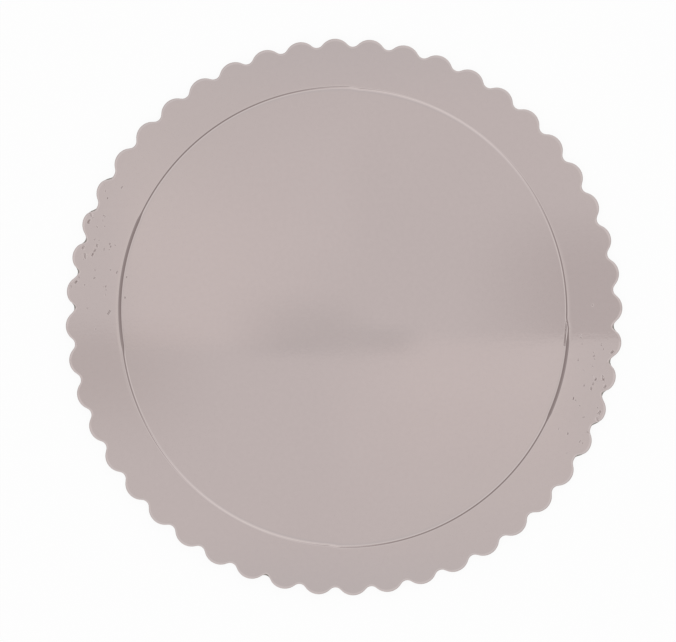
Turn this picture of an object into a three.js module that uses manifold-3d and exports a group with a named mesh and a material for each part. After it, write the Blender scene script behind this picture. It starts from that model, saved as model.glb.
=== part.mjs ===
// Round cake board: a foil-faced paperboard disc with a scalloped edge and a crease ring pressed into its face.
// One piece, lying face up. Millimetres, +Z up, origin at the middle of the underside, a scallop's crest on +X.

import * as THREE from "three";
import { mergeVertices } from "three/addons/utils/BufferGeometryUtils.js";
import Module from "manifold-3d";

const wasm = await Module();
wasm.setup();

// Board
const boardDiameter = 300; // over opposite crests
const boardThickness = 3;
const edgeRoll = 0.5; // round that the cutting die leaves on the upper edge

// Scallops
const scallopPitch = 19.6; // wanted spacing along the crest circle; the count is the nearest whole number
const scallopDepth = 4.3; // from crest down to valley
const valleyRadius = 3.9;

// Crease ring, which is slightly oval
const wideRim = 29; // crest circle to crease, across the oval's short axis
const narrowRim = 26; // crest circle to crease, across the oval's long axis
const creaseTurn = 11.25; // degrees from +Y to the oval's long axis, anticlockwise from above
const creaseWidth = 2.4; // from shoulder to shoulder
const creaseDepth = 0.7;

// Facets
const arcSteps = 8; // on each arc of the outline
const rollSteps = 2; // on the rolled edge
const creaseSteps = 144; // round the ring
const creaseProfileSteps = 8; // across it
const cutMargin = 1; // how far a cutter stands past the face that it cuts

// Scallop geometry: convex lobes whose arcs run smoothly into the concave arcs of the valleys
const crestRadius = boardDiameter / 2;
const scallopCount = Math.round((Math.PI * boardDiameter) / scallopPitch);
const halfPitch = Math.PI / scallopCount;
const valleyCentre = crestRadius - scallopDepth + valleyRadius;
const lobeRadius = tangentLobeRadius();
const lobeCentre = crestRadius - lobeRadius;
const lobeHalfAngle = Math.atan2(
  valleyCentre * Math.sin(halfPitch),
  valleyCentre * Math.cos(halfPitch) - lobeCentre,
);

// The lobe arc that passes through the crest and touches the valley's arc from outside.
function tangentLobeRadius() {
  const across = valleyCentre * Math.cos(halfPitch);
  const gapSquared = crestRadius ** 2 + valleyCentre ** 2 - 2 * crestRadius * across;
  return (gapSquared - valleyRadius ** 2) / (2 * (crestRadius + valleyRadius - across));
}

// Points on an arc round a centre that is given by its distance and bearing from the board's axis.
// The last point is left out, because the next arc starts there.
function arcPoints(distance, bearing, radius, from, to) {
  const points = [];
  for (let i = 0; i < arcSteps; i++) {
    const angle = from + ((to - from) * i) / arcSteps;
    points.push(
      new THREE.Vector2(
        distance * Math.cos(bearing) + radius * Math.cos(angle),
        distance * Math.sin(bearing) + radius * Math.sin(angle),
      ),
    );
  }
  return points;
}

// The die-cut outline, anticlockwise: a lobe and then the valley after it, for each scallop.
function scallopedOutline() {
  const points = [];
  for (let i = 0; i < scallopCount; i++) {
    const crest = 2 * halfPitch * i;
    const valley = crest + halfPitch;
    const lobeEnd = crest + lobeHalfAngle;
    points.push(...arcPoints(lobeCentre, crest, lobeRadius, crest - lobeHalfAngle, lobeEnd));
    points.push(
      ...arcPoints(valleyCentre, valley, valleyRadius, lobeEnd + Math.PI, 2 * valley - lobeEnd + Math.PI),
    );
  }
  return new THREE.Shape(points);
}

// A closed geometry as a solid that can be cut.
function solidOf(geometry) {
  const bare = geometry.clone();
  bare.deleteAttribute("normal");
  bare.deleteAttribute("uv");
  const merged = mergeVertices(bare);
  return new wasm.Manifold(
    new wasm.Mesh({
      numProp: 3,
      vertProperties: merged.attributes.position.array,
      triVerts: new Uint32Array(merged.index.array),
    }),
  );
}

function geometryOf(solid) {
  const mesh = solid.getMesh();
  const geometry = new THREE.BufferGeometry();
  geometry.setAttribute("position", new THREE.BufferAttribute(mesh.vertProperties, 3));
  geometry.setIndex(new THREE.BufferAttribute(mesh.triVerts, 1));
  geometry.computeVertexNormals();
  return geometry;
}

// The disc as it leaves the die. The extrusion rounds both of its edges, so it is made deeper than the board
// and the lower round is cut off at the underside, which leaves that edge sharp.
function dieCutDisc() {
  const extrusion = new THREE.ExtrudeGeometry(scallopedOutline(), {
    depth: boardThickness,
    bevelThickness: edgeRoll,
    bevelSize: edgeRoll,
    bevelOffset: -edgeRoll,
    bevelSegments: rollSteps,
  });
  extrusion.translate(0, 0, -edgeRoll);
  const cutterHeight = 2 * edgeRoll + cutMargin;
  const below = new THREE.BoxGeometry(2 * boardDiameter, 2 * boardDiameter, cutterHeight);
  below.translate(0, 0, -cutterHeight / 2);
  return solidOf(extrusion).subtract(solidOf(below));
}

// What the creasing rule presses out of the face: a trough that rolls in from its two shoulders, all the way
// round an oval.
function creaseRing() {
  const longRadius = crestRadius - narrowRim;
  const shortRadius = crestRadius - wideRim;
  const trough = [];
  for (let i = 0; i <= creaseProfileSteps; i++) {
    const share = i / creaseProfileSteps;
    const depth = (creaseDepth * (1 - Math.cos(2 * Math.PI * share))) / 2;
    trough.push(new THREE.Vector2(longRadius + creaseWidth * (share - 0.5), boardThickness - depth));
  }
  const top = boardThickness + cutMargin;
  const section = [
    ...trough,
    new THREE.Vector2(longRadius + creaseWidth / 2, top),
    new THREE.Vector2(longRadius - creaseWidth / 2, top),
    trough[0].clone(),
  ];
  const ring = new THREE.LatheGeometry(section, creaseSteps);
  ring.rotateX(Math.PI / 2);
  ring.scale(shortRadius / longRadius, 1, 1);
  ring.rotateZ(THREE.MathUtils.degToRad(creaseTurn));
  return solidOf(ring);
}

function cakeBoard() {
  const foil = new THREE.MeshStandardMaterial({ color: 0xbcb0ae, roughness: 0.2, metalness: 1 });
  const board = new THREE.Mesh(geometryOf(dieCutDisc().subtract(creaseRing())), foil);
  board.name = "cake_board";
  return board;
}

const part = new THREE.Group();
part.add(cakeBoard());

export default part;
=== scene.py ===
# The cake board's look: a mirror-like foil face with its crease, rolled edge and scuffs, a greyboard cut edge
# and a plain paper underside. It lies on a white floor under a soft studio sky, seen from straight above.
# Sizes are in millimetres unless a comment says otherwise, and become metres where a mesh is made.

import math

import bmesh
import bpy
import numpy as np
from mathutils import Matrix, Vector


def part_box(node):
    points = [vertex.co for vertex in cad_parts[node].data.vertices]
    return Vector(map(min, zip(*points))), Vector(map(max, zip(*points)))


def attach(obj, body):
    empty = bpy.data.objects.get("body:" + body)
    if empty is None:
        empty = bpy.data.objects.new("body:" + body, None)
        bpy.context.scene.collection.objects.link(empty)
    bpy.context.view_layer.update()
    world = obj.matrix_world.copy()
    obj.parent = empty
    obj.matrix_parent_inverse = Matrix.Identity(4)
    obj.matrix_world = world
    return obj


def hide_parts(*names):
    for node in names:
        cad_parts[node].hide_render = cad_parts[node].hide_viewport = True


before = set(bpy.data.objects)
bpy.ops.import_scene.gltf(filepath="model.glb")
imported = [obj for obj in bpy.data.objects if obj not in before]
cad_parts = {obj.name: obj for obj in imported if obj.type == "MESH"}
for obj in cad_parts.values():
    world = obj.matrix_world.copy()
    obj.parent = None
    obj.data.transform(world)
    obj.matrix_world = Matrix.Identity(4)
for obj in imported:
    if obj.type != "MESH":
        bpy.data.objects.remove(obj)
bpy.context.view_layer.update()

METRE = 1000.0  # millimetres
random = np.random.default_rng(7)

# The photograph's frame
PHOTO_WIDTH = 676  # pixels
PHOTO_HEIGHT = 642
BOARD_AT = (344.1, 317.05)  # the board's centre, in pixels from the top left corner
CREST_SPAN = 557.4  # pixels over opposite crests
CREST_TURN = math.radians(1.94)  # from the picture's right to the crest on +X, anticlockwise

# Board
low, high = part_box("cake_board")
CREST_RADIUS = METRE * (high[0] - low[0]) / 2
THICKNESS = METRE * high[2]
EDGE_ROLL = 0.5
FOIL_SETBACK = 0.04  # foil's edge behind the cut outline
PAPER_EDGE = 0.2  # height of the backing paper's cut edge
BURR = 0.06  # chamfer along the underside's edge

# Scallops
SCALLOPS = 48
HALF_PITCH = math.pi / SCALLOPS
SCALLOP_DEPTH = 4.3
VALLEY_RADIUS = 3.9
VALLEY_CENTRE = CREST_RADIUS - SCALLOP_DEPTH + VALLEY_RADIUS

# Crease, pressed by four rules of the same arc that stand a little off the board's middle, which makes the
# ring oval. Each has the bearings between which it lies, in degrees, and the place of its arc's centre, all
# of it in the picture's axes.
RULE_RADIUS = 119.85
RULES = (
    (-1.5, 87.5, (0.1, 3.4)),
    (87.5, 188.5, (-1.0, 4.1)),
    (188.5, 267.5, (-0.1, -3.4)),
    (267.5, 358.5, (1.0, -4.1)),
)
JOINT_EASE = 2.5  # degrees over which one rule's line runs into the next
CREASE_HALF_WIDTH = 1.2
SHOULDER_DEPTH = 0.1
CORE_DEPTH = (0.25, 0.44)  # of the folded middle, below its shoulders: most of the ring, and the bitten parts
CORE_HALF_WIDTH = (0.45, 0.8)
CREASE_DEPTH = SHOULDER_DEPTH + CORE_DEPTH[1]
BITTEN_PARTS = ((153.5, 188.5), (333.5, 355.0))  # bearings in the picture, in degrees
BITE_EASE = 2.5  # degrees over which the depth changes

# Valleys where the die crushed the edge, so that the greyboard shows past the foil: bearings in the picture,
# in degrees
CRUSHED_VALLEYS = (149.5, 157.0, 163.6, 170.2, 177.8, 253.3, 329.5, 337.0, 343.6, 350.4, 357.8)
CRUSH_SETBACK = 1.1
CRUSH_HALF_LENGTH = math.radians(0.7)

# Mesh
COLUMNS = 20 * SCALLOPS  # points in a full ring
DISC_RADIUS = 117.0  # inside the crease
RIM_START = 126.5  # outside it
RIM_RINGS = 18
GAP_SHARES = (0.25, 0.5, 0.75)  # of the way from a plain circle to the crease's shoulder
ROLL_RINGS = 5
WALL_RINGS = 3
CORE_RINGS = (0.1, 0.55, 1.0)  # shares of the core's half width, on each side of the crease's middle
SHOULDER_RINGS = (0.1, 0.4, 0.7, 1.0)  # shares of the way from the core to the flat face
# A disc's rings from the middle out: how many points each has, and its share of the disc's radius. The
# number of points doubles at most from one to the next.
DISC_RINGS = (
    (30, 0.1),
    (60, 0.22),
    (120, 0.4),
    (120, 0.55),
    (240, 0.7),
    (240, 0.85),
    (480, 0.95),
    (COLUMNS, 0.98),
    (COLUMNS, 1.0),
)
FOIL_ABOVE = THICKNESS - CREASE_DEPTH - EDGE_ROLL  # the foil's points are higher, and the others lower
REFINE_REACHES = (1.3, 0.9, 0.55)  # from a mark: each round halves the edges within it
SHARP_ANGLE = math.radians(55)  # faces that meet at more than this meet in a sharp edge
FOIL, BOARD, PAPER = range(3)


def scallop_sizes():
    """Radius of the lobe's arc, the distance of its centre, and the bearing from the crest where it ends."""
    across = VALLEY_CENTRE * math.cos(HALF_PITCH)
    gap_squared = CREST_RADIUS**2 + VALLEY_CENTRE**2 - 2 * CREST_RADIUS * across
    radius = (gap_squared - VALLEY_RADIUS**2) / (2 * (CREST_RADIUS + VALLEY_RADIUS - across))
    centre = CREST_RADIUS - radius
    end = math.atan2(VALLEY_CENTRE * math.sin(HALF_PITCH), across - centre)
    return radius, centre, math.atan2(radius * math.sin(end), centre + radius * math.cos(end))


LOBE_RADIUS, LOBE_CENTRE, LOBE_END = scallop_sizes()


def bearings(count):
    """Bearings of that many points spread evenly round the board."""
    return 2 * np.pi * np.arange(count) / count


def outline(bearing):
    """Distance of the cut edge from the axis: a lobe's arc round each crest, a valley's arc between."""
    from_crest = np.abs((bearing + HALF_PITCH) % (2 * HALF_PITCH) - HALF_PITCH)
    from_valley = HALF_PITCH - from_crest
    lobe_rest = np.maximum(LOBE_RADIUS**2 - (LOBE_CENTRE * np.sin(from_crest)) ** 2, 0)
    valley_rest = np.maximum(VALLEY_RADIUS**2 - (VALLEY_CENTRE * np.sin(from_valley)) ** 2, 0)
    lobe = LOBE_CENTRE * np.cos(from_crest) + np.sqrt(lobe_rest)
    valley = VALLEY_CENTRE * np.cos(from_valley) - np.sqrt(valley_rest)
    return np.where(from_crest < LOBE_END, lobe, valley)


def foil_setback(bearing):
    """How far the foil's edge stays behind the cut outline."""
    setback = np.full_like(bearing, FOIL_SETBACK)
    for valley in CRUSHED_VALLEYS:
        middle = math.radians(valley) - CREST_TURN
        away = (bearing - middle + math.pi) % (2 * math.pi) - math.pi
        setback += CRUSH_SETBACK * np.exp(-((away / CRUSH_HALF_LENGTH) ** 2))
    return setback


def arc_share(bearing, start, end, ease):
    """1 between two bearings of the picture and 0 elsewhere, with a slope at both; all three in degrees."""
    away = (np.degrees(bearing + CREST_TURN) - (start + end) / 2 + 180) % 360 - 180
    return np.clip(((end - start) / 2 - np.abs(away)) / ease + 0.5, 0, 1)


def crease_radius(bearing):
    """Distance of the crease's middle from the axis."""
    in_picture = bearing + CREST_TURN
    radius = 0
    for start, end, (x, y) in RULES:
        along = x * np.cos(in_picture) + y * np.sin(in_picture)
        aside = x * np.sin(in_picture) - y * np.cos(in_picture)
        share = arc_share(bearing, start, end, JOINT_EASE)
        radius = radius + share * (along + np.sqrt(RULE_RADIUS**2 - aside**2))
    return radius


def bitten(sizes, bearing):
    """A size of the crease. The rules dug in deeper at the picture's left and right."""
    bite = sum(arc_share(bearing, start, end, BITE_EASE) for start, end in BITTEN_PARTS)
    return sizes[0] + (sizes[1] - sizes[0]) * bite


def crease_depth(offset, bearing):
    """Depth below the face at an offset from the crease's middle: a sharp fold between two soft shoulders."""
    half_width = bitten(CORE_HALF_WIDTH, bearing)
    core = bitten(CORE_DEPTH, bearing) * (1 - np.minimum(np.abs(offset) / half_width, 1))
    past_core = np.clip((np.abs(offset) - half_width) / (CREASE_HALF_WIDTH - half_width), 0, 1)
    return core + SHOULDER_DEPTH * (1 - past_core) ** 2


def crease_offsets(bearing):
    """Offsets from the crease's middle of the rings of points across it, from the inner shoulder outward."""
    half_width = bitten(CORE_HALF_WIDTH, bearing)
    outward = [share * half_width for share in CORE_RINGS]
    outward.extend((1 - share) * half_width + share * CREASE_HALF_WIDTH for share in SHOULDER_RINGS)
    inward = [-offset for offset in reversed(outward)]
    return [*inward, np.zeros_like(bearing), *outward]


class Skin:
    """Rings of points and the faces between them, from the middle of the face round to the underside."""

    def __init__(self):
        self.points = []
        self.faces = []
        self.slots = []

    def ring(self, radius, height, count=COLUMNS):
        """Points all round, where radius and height are each one number or one for each point."""
        bearing = bearings(count)
        radius = np.broadcast_to(radius, count)
        height = np.broadcast_to(height, count)
        first = len(self.points)
        self.points.extend(zip(radius * np.cos(bearing), radius * np.sin(bearing), height))
        return list(range(first, first + count))

    def face(self, corners, slot):
        self.faces.append(corners)
        self.slots.append(slot)

    def join(self, before, after, slot):
        """Faces from one ring to the next, where either may have twice as many points as the other."""
        count = min(len(before), len(after))
        for i in range(count):
            sides = []
            for ring in (before, after):
                step = len(ring) // count
                sides.append([ring[(step * i + j) % len(ring)] for j in range(step + 1)])
            self.face([*reversed(sides[0]), *sides[1]], slot)

    def join_all(self, rings, slot):
        for before, after in zip(rings, rings[1:]):
            self.join(before, after, slot)


def quarter_roll(step):
    """How far in from the foil's edge, and how far down from the face, a step of the rolled edge lies."""
    angle = math.pi / 2 * step / ROLL_RINGS
    return EDGE_ROLL * (1 - math.sin(angle)), EDGE_ROLL * (1 - math.cos(angle))


def foil_rings(skin, around, foil_edge):
    """The foil's rings: the disc, the crease, the rim outside it and the rolled edge."""
    crease = crease_radius(around)
    inner = crease - CREASE_HALF_WIDTH
    outer = crease + CREASE_HALF_WIDTH
    rim_end = foil_edge - EDGE_ROLL
    rings = [skin.ring(share * DISC_RADIUS, THICKNESS, count) for count, share in DISC_RINGS]
    for share in GAP_SHARES:
        rings.append(skin.ring(DISC_RADIUS + share * (inner - DISC_RADIUS), THICKNESS))
    for offset in crease_offsets(around):
        rings.append(skin.ring(crease + offset, THICKNESS - crease_depth(offset, around)))
    for share in reversed(GAP_SHARES):
        rings.append(skin.ring(RIM_START + share * (outer - RIM_START), THICKNESS))
    for i in range(RIM_RINGS + 1):
        share = i / RIM_RINGS
        rings.append(skin.ring(RIM_START + share * (rim_end - RIM_START), THICKNESS))
    for i in range(1, ROLL_RINGS + 1):
        inward, down = quarter_roll(i)
        rings.append(skin.ring(foil_edge - inward, THICKNESS - down))
    return rings


def wall_rings(skin, foil_edge, cut_edge):
    """The greyboard's rings, which spread a little on their way down to the backing paper."""
    top = THICKNESS - EDGE_ROLL
    rings = []
    for i in range(1, WALL_RINGS + 1):
        share = i / WALL_RINGS
        height = top + share * (PAPER_EDGE - top)
        rings.append(skin.ring(foil_edge + share * (cut_edge - foil_edge), height))
    return rings


def paper_rings(skin, cut_edge):
    """The backing paper's rings: its edge, the chamfer and the underside in to its middle."""
    rings = [skin.ring(cut_edge, BURR), skin.ring(cut_edge - BURR, 0.0)]
    for count, share in reversed(DISC_RINGS):
        rings.append(skin.ring(share * (CREST_RADIUS - SCALLOP_DEPTH), 0.0, count))
    return rings


def build_skin():
    skin = Skin()
    around = bearings(COLUMNS)
    cut_edge = outline(around)
    foil_edge = cut_edge - foil_setback(around)

    foil = foil_rings(skin, around, foil_edge)
    skin.face(foil[0], FOIL)
    skin.join_all(foil, FOIL)

    walls = [foil[-1], *wall_rings(skin, foil_edge, cut_edge)]
    skin.join_all(walls, BOARD)

    paper = [walls[-1], *paper_rings(skin, cut_edge)]
    skin.join_all(paper, PAPER)
    skin.face(paper[-1][::-1], PAPER)
    return skin


# Scuffs in the foil that stand out, on the picture's left and again half a turn on: the middle in the
# picture's axes from the board's centre, the length, and the direction in degrees
SCUFFS = (
    (-137.5, 51.5, 2.2, 60),
    (-136.5, 55.0, 1.4, 100),
    (-129.0, 54.0, 0.9, 30),
    (-128.5, 68.0, 0.9, 80),
    (-133.0, 38.5, 1.4, 75),
    (-134.0, 36.0, 1.2, 60),
    (-135.5, 33.5, 1.4, 65),
    (-139.5, 33.0, 2.6, 98),
    (-140.5, 37.5, 1.6, 60),
    (-134.5, 21.0, 1.0, 45),
    (-139.8, 17.3, 0.9, 75),
    (-144.3, 18.8, 1.6, 50),
    (-128.2, 14.6, 0.7, 80),
    (-133.8, -6.4, 0.9, 80),
)
# The ones on one side only: the end of a thin rule inside a deep one, a nick in the ring and dashes near it
LONE_SCUFFS = (
    (119.0, -9.4, 12.0, 86),
    (119.9, -2.7, 0.8, 151),
    (-126.5, 2.5, 2.4, 55),
    (-117.9, 10.5, 0.9, 85),
    (-117.1, 21.5, 0.7, 80),
)
SCUFF_HALF_WIDTH = 0.55
SCUFF_DEPTH = 0.36
FULL_SCUFF_LENGTH = 1.4  # shorter ones are narrower and shallower

# Small scuffs, scattered by chance on the same two sides
SMALL_SCUFFS = 30  # on each side
SMALL_SCUFF_BEARING = (math.radians(164), math.radians(7))  # mean and spread
SMALL_SCUFF_DIRECTION = (75, 25)  # degrees, mean and spread
SMALL_SCUFF_INSET = 1.2  # from the cut edge, at the least
SMALL_SCUFF_REACH = 20  # how much further in they go
SMALL_SCUFF_CROWDING = 1.6  # towards the edge, where 1 would spread them evenly
SMALL_SCUFF_HALF_WIDTH = (0.24, 0.42)  # least and most
SMALL_SCUFF_LENGTH = (0.2, 1.4)  # least and most
SMALL_SCUFF_SLOPE = 0.7  # depth for each millimetre of half width

# The laminate's slow undulation
WAVE_HEIGHT = 0.03
WAVE_LENGTHS = (150, 105, 78)


def scuff(x, y, length, direction, turn):
    """The mark of one row of the tables, turned from the picture's axes to the board's."""
    place = (x * math.cos(turn) - y * math.sin(turn), x * math.sin(turn) + y * math.cos(turn))
    share = min(length / FULL_SCUFF_LENGTH, 1)
    return (*place, math.radians(direction) + turn, length, share * SCUFF_HALF_WIDTH, share * SCUFF_DEPTH)


def small_scuff(turn):
    mean, spread = SMALL_SCUFF_BEARING
    bearing = mean + random.normal(0, spread)
    crowded = random.random() ** SMALL_SCUFF_CROWDING
    radius = outline(bearing) - SMALL_SCUFF_INSET - SMALL_SCUFF_REACH * crowded
    place = (radius * math.cos(bearing + turn), radius * math.sin(bearing + turn))
    direction = math.radians(random.normal(*SMALL_SCUFF_DIRECTION))
    half_width = random.uniform(*SMALL_SCUFF_HALF_WIDTH)
    length = random.uniform(*SMALL_SCUFF_LENGTH)
    return (*place, direction + turn, length, half_width, SMALL_SCUFF_SLOPE * half_width)


def scuffs():
    """Every mark pressed into the foil: its middle, direction, length, half width and depth."""
    marks = [scuff(*row, -CREST_TURN) for row in LONE_SCUFFS]
    for half_turn in (0, math.pi):
        turn = half_turn - CREST_TURN
        marks.extend(scuff(*row, turn) for row in SCUFFS)
        marks.extend(small_scuff(turn) for _ in range(SMALL_SCUFFS))
    return marks


def mark_distance(points, mark):
    """Distance of each point in plan from a mark's middle line."""
    x, y, direction, length, _, _ = mark
    along = np.array((math.cos(direction), math.sin(direction)))
    offset = points - (x, y)
    reach = np.clip(offset @ along, -length / 2, length / 2)
    return np.linalg.norm(offset - reach[:, None] * along, axis=1)


def relief(points, marks):
    """Height of the foil above its flat face: the laminate's waves and the marks pressed into it."""
    height = np.full(len(points), -WAVE_HEIGHT)
    for length in WAVE_LENGTHS:
        direction, phase = random.uniform(0, 2 * math.pi, 2)
        along = points @ (math.cos(direction), math.sin(direction))
        height += WAVE_HEIGHT / len(WAVE_LENGTHS) * np.sin(2 * math.pi * along / length + phase)
    for mark in marks:
        half_width, depth = mark[4:]
        share = np.minimum(mark_distance(points, mark) / half_width, 1)
        height -= depth * (1 - share)
    return height


def refine(mesh_data, marks, reach):
    """Halves the foil's edges that lie within reach of a mark."""
    middles = np.array([(a.co + b.co).xy / 2 for a, b in (edge.verts for edge in mesh_data.edges)])
    near = np.zeros(len(middles), bool)
    for mark in marks:
        near |= mark_distance(middles, mark) < reach
    chosen = [
        edge
        for edge, close in zip(mesh_data.edges, near)
        if close and min(vertex.co.z for vertex in edge.verts) > FOIL_ABOVE
    ]
    bmesh.ops.subdivide_edges(mesh_data, edges=chosen, cuts=1, use_grid_fill=True)


def refine_near(mesh, marks):
    """Makes the foil's mesh fine enough round the marks to hold them."""
    fine = bmesh.new()
    fine.from_mesh(mesh)
    for reach in REFINE_REACHES:
        refine(fine, marks, reach)
    fine.to_mesh(mesh)
    fine.free()


def press(mesh, marks):
    """Gives the foil its relief, and turns the mesh from millimetres into metres."""
    points = np.empty(3 * len(mesh.vertices))
    mesh.vertices.foreach_get("co", points)
    points = points.reshape(-1, 3)
    foil = points[:, 2] > FOIL_ABOVE
    points[foil, 2] += relief(points[foil, :2], marks)
    mesh.vertices.foreach_set("co", (points / METRE).ravel())


def make_board():
    skin = build_skin()
    mesh = bpy.data.meshes.new("foil_board")
    mesh.from_pydata(skin.points, [], skin.faces)
    mesh.polygons.foreach_set("material_index", skin.slots)
    marks = scuffs()
    refine_near(mesh, marks)
    press(mesh, marks)
    mesh.shade_smooth()
    mesh.set_sharp_from_angle(angle=SHARP_ANGLE)
    mesh.update()

    board = bpy.data.objects.new("foil_board", mesh)
    bpy.context.scene.collection.objects.link(board)
    for material in (foil_material(), greyboard_material(), paper_material()):
        mesh.materials.append(material)
    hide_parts("cake_board")
    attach(board, "root")


def add_node(tree, kind, inputs=None, **settings):
    """A new node with its settings made, and each input set to a value or joined to a socket."""
    node = tree.nodes.new(kind)
    for name, value in settings.items():
        setattr(node, name, value)
    for name, value in (inputs or {}).items():
        if isinstance(value, bpy.types.NodeSocket):
            tree.links.new(value, node.inputs[name])
        else:
            node.inputs[name].default_value = value
    return node


def maths(tree, operation, *values):
    return add_node(tree, "ShaderNodeMath", dict(enumerate(values)), operation=operation).outputs[0]


def vector_maths(tree, operation, *values):
    return add_node(tree, "ShaderNodeVectorMath", dict(enumerate(values)), operation=operation).outputs[0]


def weighted(tree, first, first_weight, second, second_weight):
    """Sum of two values, each times its weight."""
    first_part = maths(tree, "MULTIPLY", first, first_weight)
    second_part = maths(tree, "MULTIPLY", second, second_weight)
    return maths(tree, "ADD", first_part, second_part)


def ramp(tree, value, start, end, low_value=0.0, high_value=1.0):
    """Eases from one value to another as the input goes from start to end."""
    inputs = {0: value, 1: start, 2: end, 3: low_value, 4: high_value}
    return add_node(tree, "ShaderNodeMapRange", inputs, interpolation_type="SMOOTHSTEP").outputs[0]


def window(tree, value, opening, closing):
    """Eases from 0 to 1 over the first pair of inputs, and back to 0 over the second."""
    return maths(tree, "MULTIPLY", ramp(tree, value, *opening), ramp(tree, value, *closing, 1.0, 0.0))


def noise(tree, place, scale, detail=2.0, roughness=0.5):
    inputs = {"Vector": place, "Scale": scale, "Detail": detail, "Roughness": roughness}
    return add_node(tree, "ShaderNodeTexNoise", inputs).outputs["Fac"]


def stretched_noise(tree, place, scales, detail=2.0, roughness=0.5):
    """Noise with its own scale along each axis."""
    return noise(tree, vector_maths(tree, "MULTIPLY", place, scales), 1.0, detail, roughness)


def mixed(tree, share, first, second):
    """Colour between two colours."""
    inputs = {0: share, 6: (*first, 1), 7: (*second, 1)}
    return add_node(tree, "ShaderNodeMix", inputs, data_type="RGBA").outputs[2]


def new_material(name):
    """A material, its tree, its shader and its object coordinates in metres."""
    material = bpy.data.materials.new(name)
    material.use_nodes = True
    tree = material.node_tree
    place = add_node(tree, "ShaderNodeTexCoord").outputs["Object"]
    return material, tree, tree.nodes["Principled BSDF"], place


def bump(tree, shader, height, distance):
    """Raises the surface by up to that distance, in metres."""
    inputs = {"Height": height, "Distance": distance, "Strength": 1.0}
    tree.links.new(add_node(tree, "ShaderNodeBump", inputs).outputs[0], shader.inputs["Normal"])


# Foil
FOIL_TONES = ((0.478, 0.412, 0.402), (0.528, 0.456, 0.444))
FOIL_ROUGHNESS = (0.022, 0.045)  # polished, and where it is rubbed
RUBBED_EDGE = (0.45, 0.7)  # of the noise: polished below the first, rubbed above the second
MOTTLE_ROUGHNESS = 0.01
DRAWN_SCALES = (25, 520, 1)  # of the lines that the mill leaves along the paper
FOIL_RELIEF = 3e-6  # metres

# Fibres, of the greyboard and of the paper: values of the noise at which their two roughnesses hold
FIBRE_EDGE = (0.3, 0.7)

# Greyboard
GREYBOARD_TONES = ((0.15, 0.135, 0.115), (0.33, 0.305, 0.27))
GREYBOARD_TONE_EDGE = (0.35, 0.65)  # values of the noise at which those two hold
GREYBOARD_ROUGHNESS = (0.82, 0.96)
PLY_SCALES = (90, 90, 2600)
GREYBOARD_FIBRE_SCALES = (900, 900, 3000)
GREYBOARD_RELIEF = 1.2e-4  # metres

# Backing paper
PAPER_TONES = ((0.62, 0.605, 0.575), (0.74, 0.73, 0.705))
PAPER_TONE_EDGE = (0.3, 0.7)
PAPER_ROUGHNESS = (0.8, 0.92)
PAPER_FIBRE_SCALES = (1600, 420, 1)
PAPER_RELIEF = 3e-5  # metres


def foil_material():
    """Metallised paper: nearly a mirror, with the paper's faint mottle under the metal and rubbed patches."""
    material, tree, shader, place = new_material("foil")
    cloud = noise(tree, place, scale=7)
    mottle = noise(tree, place, scale=380, detail=3)
    tone = weighted(tree, cloud, 0.6, mottle, 0.4)
    tree.links.new(mixed(tree, tone, *FOIL_TONES), shader.inputs["Base Color"])
    patches = noise(tree, place, scale=16, detail=4)
    rubbed = ramp(tree, patches, *RUBBED_EDGE, *FOIL_ROUGHNESS)
    grain = maths(tree, "MULTIPLY", mottle, MOTTLE_ROUGHNESS)
    tree.links.new(maths(tree, "ADD", rubbed, grain), shader.inputs["Roughness"])
    shader.inputs["Metallic"].default_value = 1.0
    peel = noise(tree, place, scale=650, detail=2)
    drawn = stretched_noise(tree, place, DRAWN_SCALES, detail=2)
    bump(tree, shader, weighted(tree, peel, 1.0, drawn, 0.5), FOIL_RELIEF)
    return material


def greyboard_material():
    """The cut edge: pressed grey plies with pale and dark fibres."""
    material, tree, shader, place = new_material("greyboard")
    plies = stretched_noise(tree, place, PLY_SCALES, detail=3)
    fibres = stretched_noise(tree, place, GREYBOARD_FIBRE_SCALES, detail=4, roughness=0.7)
    tone = weighted(tree, plies, 0.6, fibres, 0.4)
    spread = ramp(tree, tone, *GREYBOARD_TONE_EDGE)
    tree.links.new(mixed(tree, spread, *GREYBOARD_TONES), shader.inputs["Base Color"])
    tree.links.new(ramp(tree, fibres, *FIBRE_EDGE, *GREYBOARD_ROUGHNESS), shader.inputs["Roughness"])
    bump(tree, shader, tone, GREYBOARD_RELIEF)
    return material


def paper_material():
    """The underside: uncoated off-white paper with a faint cloud and fibre."""
    material, tree, shader, place = new_material("backing_paper")
    cloud = noise(tree, place, scale=120, detail=3)
    fibres = stretched_noise(tree, place, PAPER_FIBRE_SCALES, detail=4, roughness=0.65)
    tone = weighted(tree, cloud, 0.5, fibres, 0.5)
    spread = ramp(tree, tone, *PAPER_TONE_EDGE)
    tree.links.new(mixed(tree, spread, *PAPER_TONES), shader.inputs["Base Color"])
    tree.links.new(ramp(tree, fibres, *FIBRE_EDGE, *PAPER_ROUGHNESS), shader.inputs["Roughness"])
    bump(tree, shader, fibres, PAPER_RELIEF)
    return material


# Camera, straight above
LENS = 85.0
SENSOR = 36.0
PIXEL = 2 * CREST_RADIUS / CREST_SPAN
CAMERA_HEIGHT = PIXEL * PHOTO_WIDTH * LENS / SENSOR  # above the face
# Its place over the board, in the picture's axes
CAMERA_OVER = (PIXEL * (PHOTO_WIDTH / 2 - BOARD_AT[0]), PIXEL * (BOARD_AT[1] - PHOTO_HEIGHT / 2))


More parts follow.
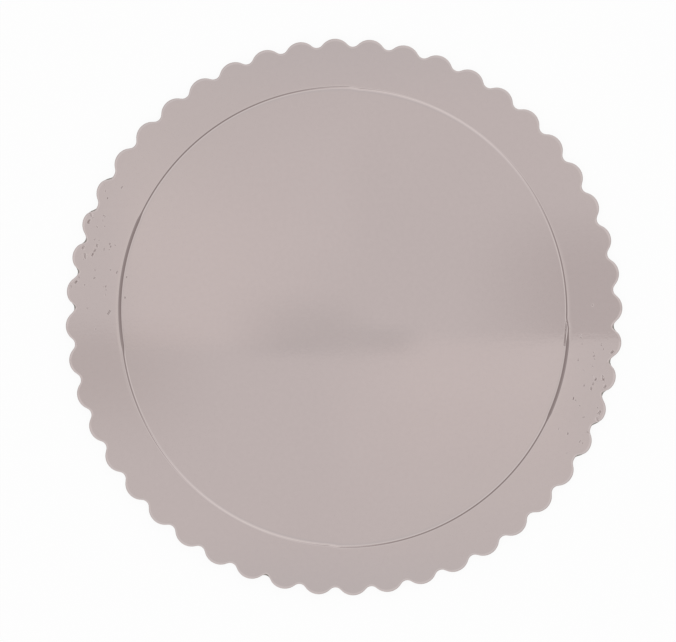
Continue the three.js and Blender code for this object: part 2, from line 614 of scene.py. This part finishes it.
def make_camera():
    data = bpy.data.cameras.new("camera")
    data.lens = LENS
    data.sensor_width = SENSOR
    data.sensor_fit = "HORIZONTAL"
    camera = bpy.data.objects.new("camera", data)
    bpy.context.scene.collection.objects.link(camera)
    x, y = CAMERA_OVER
    turn = -CREST_TURN
    over = (x * math.cos(turn) - y * math.sin(turn), x * math.sin(turn) + y * math.cos(turn))
    camera.location = (over[0] / METRE, over[1] / METRE, (THICKNESS + CAMERA_HEIGHT) / METRE)
    camera.rotation_euler = (0, 0, turn)
    bpy.context.scene.camera = camera


# What the face mirrors from overhead, given where the camera sees it on the board, in the picture's axes.
# Each card adds its colour to white. It eases in over its first pair of places and out over its second,
# across the picture and then up it.
DARK = (-0.112, -0.124, -0.124)
LEFT_DARK = (-0.086, -0.096, -0.1)
MIDDLE_DARK = (-0.108, -0.104, -0.1)
FAINT_DARK = (-0.02, -0.02, -0.02)
FAINT_LIGHT = (0.022, 0.022, 0.022)
WARM = (0.062, 0.052, 0.046)
COOL = (-0.045, -0.03, -0.022)
SKY_CARDS = (
    (DARK, (55, 128), (300, 400), (-13.5, -8), (20, 66)),
    (LEFT_DARK, (-400, -300), (-135, -58), (-84, -24), (-16, 2)),
    (MIDDLE_DARK, (-74, -24), (-12, 24), (-23, -15), (-13, 19)),
    (MIDDLE_DARK, (-12, 24), (24, 48), (-23, -15), (-13, -2)),
    (FAINT_DARK, (4, 30), (120, 150), (-100, -78), (-54, -34)),
    (FAINT_LIGHT, (-60, -14), (-6, 14), (16, 46), (84, 118)),
    (WARM, (-134, -104), (-80, 30), (-21, -9), (34, 112)),
    (WARM, (-24, 52), (104, 150), (-116, -54), (-18, -7)),
    (COOL, (-400, -300), (300, 400), (108, 152), (300, 400)),
    (COOL, (-400, -300), (300, 400), (-400, -300), (-152, -108)),
)
LOWEST_RISE = 0.05  # vertical part of the direction below which the places of the cards stop spreading

# The studio's sides, which the slopes of the crease and the scuffs mirror. Levels are shares of white.
SIDE_LIGHT_BEARING = math.radians(61)  # in the picture, and the same opposite
SIDE_LIGHT_EDGE = (0.8, 0.95)  # cosine of the turn away from that bearing
SIDE_LIGHT_RISE = 0.52  # vertical part of the direction at which that edge holds
SIDE_LIGHT_TAPER = 0.5  # how much the side lights narrow above that, and widen below it
SIDE_BRIGHT = 0.66  # above the sides next to the lights
SIDE_DARK = (0.48, 0.63)  # straight across from the lights, and next to them
SIDE_DARK_EDGE = (0.42, 0.85)  # cosines of the turn at which those two hold
SIDE_TINT = (0.97, 1.04, 1.04)  # how much of a change of level each colour gets
UPPER_LIT = 0.86  # between the side lights and the cards overhead
UPPER_UNLIT = 1.14  # above the rest of the sides
# Vertical parts of the direction over which each band fades in and out
LOW_BAND = ((0.25, 0.4), (0.6, 0.8))
UPPER_BAND = ((0.65, 0.82), (0.965, 0.984))


def overhead_light(tree, x, y, z):
    """White with the cards in it, each where the camera sees it mirrored at its places on the face."""
    rise = maths(tree, "MAXIMUM", z, LOWEST_RISE)
    across, up = (
        maths(tree, "MULTIPLY_ADD", maths(tree, "DIVIDE", side, rise), CAMERA_HEIGHT, over)
        for side, over in zip((x, y), CAMERA_OVER)
    )
    light = (1.0, 1.0, 1.0)
    for amount, left, right, bottom, top in SKY_CARDS:
        share = maths(tree, "MULTIPLY", window(tree, across, left, right), window(tree, up, bottom, top))
        light = vector_maths(tree, "MULTIPLY_ADD", share, amount, light)
    return light


def side_light_cosine(tree, x, y):
    """Cosine of the turn from a direction's heading to the nearer side light."""
    level = add_node(tree, "ShaderNodeCombineXYZ", {"X": x, "Y": y}).outputs[0]
    heading = vector_maths(tree, "NORMALIZE", level)
    bank = (math.cos(SIDE_LIGHT_BEARING), math.sin(SIDE_LIGHT_BEARING), 0)
    facing = add_node(tree, "ShaderNodeVectorMath", {0: heading, 1: bank}, operation="DOT_PRODUCT")
    return maths(tree, "ABSOLUTE", facing.outputs["Value"])


def side_bands(tree, x, y, z):
    """The two bands round the sides, each as a level and the share of it that holds in a direction."""
    cosine = side_light_cosine(tree, x, y)
    widening = maths(tree, "MULTIPLY_ADD", z, -SIDE_LIGHT_TAPER, SIDE_LIGHT_TAPER * SIDE_LIGHT_RISE)
    lit = ramp(tree, maths(tree, "ADD", cosine, widening), *SIDE_LIGHT_EDGE)
    unlit = ramp(tree, cosine, *SIDE_DARK_EDGE, *SIDE_DARK)
    low_light = maths(tree, "MULTIPLY_ADD", lit, SIDE_BRIGHT, unlit)
    upper_light = ramp(tree, lit, 0.0, 1.0, UPPER_UNLIT, UPPER_LIT)
    return (low_light, window(tree, z, *LOW_BAND)), (upper_light, window(tree, z, *UPPER_BAND))


def make_sky():
    """A soft white studio: faint cards overhead, light from two sides and plain white at the horizon."""
    world = bpy.data.worlds.new("studio")
    bpy.context.scene.world = world
    world.use_nodes = True
    tree = world.node_tree
    tree.nodes.clear()
    direction = add_node(tree, "ShaderNodeTexCoord").outputs["Generated"]
    to_picture = {"Vector": direction, "Angle": CREST_TURN}
    turned = add_node(tree, "ShaderNodeVectorRotate", to_picture, rotation_type="Z_AXIS").outputs[0]
    x, y, z = add_node(tree, "ShaderNodeSeparateXYZ", {0: turned}).outputs

    light = overhead_light(tree, x, y, z)
    for level, share in side_bands(tree, x, y, z):
        change = maths(tree, "MULTIPLY", share, maths(tree, "SUBTRACT", level, 1.0))
        light = vector_maths(tree, "MULTIPLY_ADD", change, SIDE_TINT, light)
    studio = add_node(tree, "ShaderNodeBackground", {"Color": light}).outputs[0]
    add_node(tree, "ShaderNodeOutputWorld", {"Surface": studio})


# Floor
FLOOR_HALF = 3.0  # metres
FLOOR_DROP = 2e-5  # metres below the board's underside
FLOOR_COLOUR = (0.9, 0.9, 0.9, 1)
FLOOR_WHITE = 0.9  # share of plain white in what the floor shows


def floor_material():
    """White that shows nearly plain to the camera and in mirrors, and keeps the board's shadow."""
    material = bpy.data.materials.new("floor")
    material.use_nodes = True
    tree = material.node_tree
    tree.nodes.clear()
    path = add_node(tree, "ShaderNodeLightPath").outputs
    rays = maths(tree, "MAXIMUM", path["Is Camera Ray"], path["Is Glossy Ray"])
    rays = maths(tree, "MAXIMUM", rays, path["Is Transmission Ray"])
    share = maths(tree, "MULTIPLY", rays, FLOOR_WHITE)
    matt = add_node(tree, "ShaderNodeBsdfDiffuse", {"Color": FLOOR_COLOUR}).outputs[0]
    white = add_node(tree, "ShaderNodeEmission", {"Color": (1, 1, 1, 1), "Strength": 1.0}).outputs[0]
    shown = add_node(tree, "ShaderNodeMixShader", {0: share, 1: matt, 2: white}).outputs[0]
    add_node(tree, "ShaderNodeOutputMaterial", {"Surface": shown})
    return material


def make_floor():
    corners = [(-1, -1), (1, -1), (1, 1), (-1, 1)]
    mesh = bpy.data.meshes.new("floor")
    mesh.from_pydata([(FLOOR_HALF * x, FLOOR_HALF * y, -FLOOR_DROP) for x, y in corners], [], [(0, 1, 2, 3)])
    mesh.materials.append(floor_material())
    floor = bpy.data.objects.new("floor", mesh)
    bpy.context.scene.collection.objects.link(floor)


make_camera()
make_sky()
make_floor()
make_board()
bpy.context.scene.view_settings.view_transform = "Standard"
